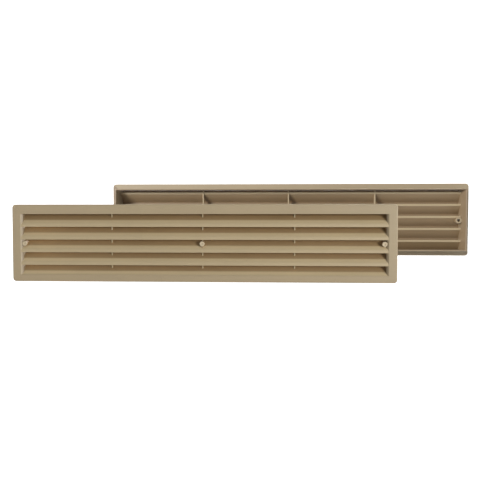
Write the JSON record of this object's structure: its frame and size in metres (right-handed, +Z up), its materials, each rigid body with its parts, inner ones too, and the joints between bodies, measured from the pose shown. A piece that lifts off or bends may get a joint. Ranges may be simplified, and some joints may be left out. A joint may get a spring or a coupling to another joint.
{
  "type": "door ventilation grille",
  "caption": "Two-part louvred door ventilation grille: front and rear halves with sloping blades and sleeves that meet in a door cut-out, drawn together by screws.",
  "frame": {"origin": "on the door face of the front flange, in the middle of its lower band, between the sleeve and the flange's lower edge", "axes": "+X along the grille, +Y into the door away from the front face, +Z up"},
  "size_m": [0.5601, 0.1108, 0.1194],
  "materials": {
    "front_plastic": "beige moulded plastic, satin",
    "rear_plastic": "beige moulded plastic, satin",
    "zinc": "bright zinc plate"
  },
  "bodies": {
    "front_half": {"front_grille": "front_plastic"},
    "rear_half": {"rear_grille": "rear_plastic"},
    "left_screw": {"screw_left": "zinc"},
    "centre_screw": {"screw_centre": "zinc"},
    "right_screw": {"screw_right": "zinc"}
  },
  "joints": [
    {"name": "rear_fit", "type": "slide", "parent": "front_half", "child": "rear_half", "axis": [-0.9168, -0.3166, -0.2436], "range_m": [0, 0.11246]},
    {"name": "left_screw_drive", "type": "slide", "parent": "rear_half", "child": "left_screw", "axis": [0, -1, 0], "range_m": [0, 0.0297]},
    {"name": "centre_screw_drive", "type": "slide", "parent": "rear_half", "child": "centre_screw", "axis": [0, -1, 0], "range_m": [0, 0.0297]},
    {"name": "right_screw_drive", "type": "slide", "parent": "rear_half", "child": "right_screw", "axis": [0, -1, 0], "range_m": [0, 0.0297]}
  ]
}
